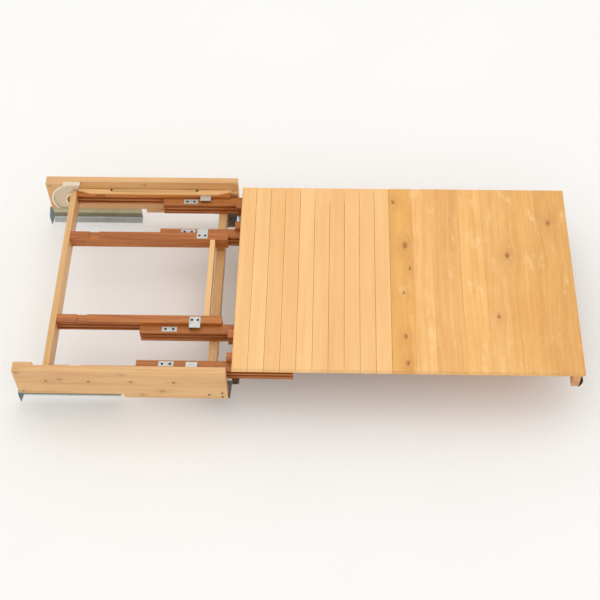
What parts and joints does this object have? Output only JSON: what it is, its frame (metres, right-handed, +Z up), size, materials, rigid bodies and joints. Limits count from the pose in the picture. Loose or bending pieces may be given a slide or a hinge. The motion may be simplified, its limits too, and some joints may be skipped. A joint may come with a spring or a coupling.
{
  "type": "pull-out cabinet table",
  "caption": "Cabinet-mounted pull-out table: solid leaf and slatted roll-under half on wooden telescopic slides in a frame with curved end guides.",
  "frame": {"origin": "middle of the near side panel's row of four fixing holes, on the panel's outer face", "axes": "+X is the pull-out direction, +Y across the cabinet from the near side panel to the far one, +Z up"},
  "size_m": [1.29, 0.566, 0.168],
  "materials": {
    "frame_wood": "satin lacquered softwood",
    "dark_wood": "satin lacquered hardwood",
    "pale_wood": "satin lacquered hardwood",
    "slide_wood": "waxed reddish hardwood",
    "top_wood": "satin lacquered alder or birch",
    "front_wood": "satin lacquered hardwood",
    "nylon": "moulded nylon",
    "zinc_steel": "galvanised sheet",
    "plate_steel": "bright zinc",
    "screw_steel": "bright zinc",
    "dark_steel": "dark lacquered steel",
    "canvas": "undyed cotton canvas"
  },
  "bodies": {
    "frame": {"side_panel_near": "frame_wood", "side_panel_far": "frame_wood", "rear_cross_bar": "frame_wood", "front_cross_bar": "dark_wood", "centre_tie_batten": "pale_wood", "slide_packers": "dark_wood", "curve_guide_near": "nylon", "curve_guide_far": "nylon", "slat_rail_near": "pale_wood", "slat_rail_far": "pale_wood", "lower_channel_near": "zinc_steel", "lower_channel_far": "zinc_steel", "rear_lug_near": "zinc_steel", "rear_lug_far": "zinc_steel", "front_bracket_near": "zinc_steel", "front_bracket_far": "zinc_steel", "catch_box": "dark_steel", "hold_down_plates_0": "plate_steel", "frame_screws": "screw_steel", "fixed_slide_near_outer": "slide_wood", "fixed_slide_near_inner": "slide_wood", "fixed_slide_far_outer": "slide_wood", "fixed_slide_far_inner": "slide_wood"},
    "first_slides": {"slide_1_near_outer": "slide_wood", "slide_1_near_inner": "slide_wood", "slide_1_far_outer": "slide_wood", "slide_1_far_inner": "slide_wood", "slide_plates_1": "plate_steel", "slide_screws_1": "screw_steel"},
    "second_slides": {"slide_2_near_outer": "slide_wood", "slide_2_near_inner": "slide_wood", "slide_2_far_outer": "slide_wood", "slide_2_far_inner": "slide_wood", "slide_plates_2": "plate_steel", "slide_screws_2": "screw_steel"},
    "third_slides": {"slide_3_near_outer": "slide_wood", "slide_3_near_inner": "slide_wood", "slide_3_far_outer": "slide_wood", "slide_3_far_inner": "slide_wood", "slide_plates_3": "plate_steel", "slide_screws_3": "screw_steel"},
    "table": {"leaf_runner_near": "slide_wood", "leaf_runner_far": "slide_wood", "runner_plates": "plate_steel", "table_screws": "screw_steel", "leaf": "top_wood", "canvas": "canvas", "front_rail": "front_wood", "pull_strip": "dark_steel", "slat_1": "top_wood", "slat_2": "top_wood", "slat_3": "top_wood", "slat_4": "top_wood", "slat_5": "top_wood", "slat_6": "top_wood", "slat_7": "top_wood", "slat_8": "top_wood", "slat_9": "top_wood", "slat_10": "top_wood"}
  },
  "joints": [
    {"name": "table_pull", "type": "slide", "parent": "frame", "child": "table", "axis": [1, 0, 0], "range_m": [-0.4, 0]},
    {"name": "first_slides_travel", "type": "slide", "parent": "frame", "child": "first_slides", "axis": [1, 0, 0], "range_m": [-0.1, 0]},
    {"name": "second_slides_travel", "type": "slide", "parent": "frame", "child": "second_slides", "axis": [1, 0, 0], "range_m": [-0.2, 0]},
    {"name": "third_slides_travel", "type": "slide", "parent": "frame", "child": "third_slides", "axis": [1, 0, 0], "range_m": [-0.3, 0]}
  ],
  "couplings": [
    {"joint": "first_slides_travel", "follows": "table_pull", "ratio": 0.25},
    {"joint": "second_slides_travel", "follows": "table_pull", "ratio": 0.5},
    {"joint": "third_slides_travel", "follows": "table_pull", "ratio": 0.75}
  ]
}
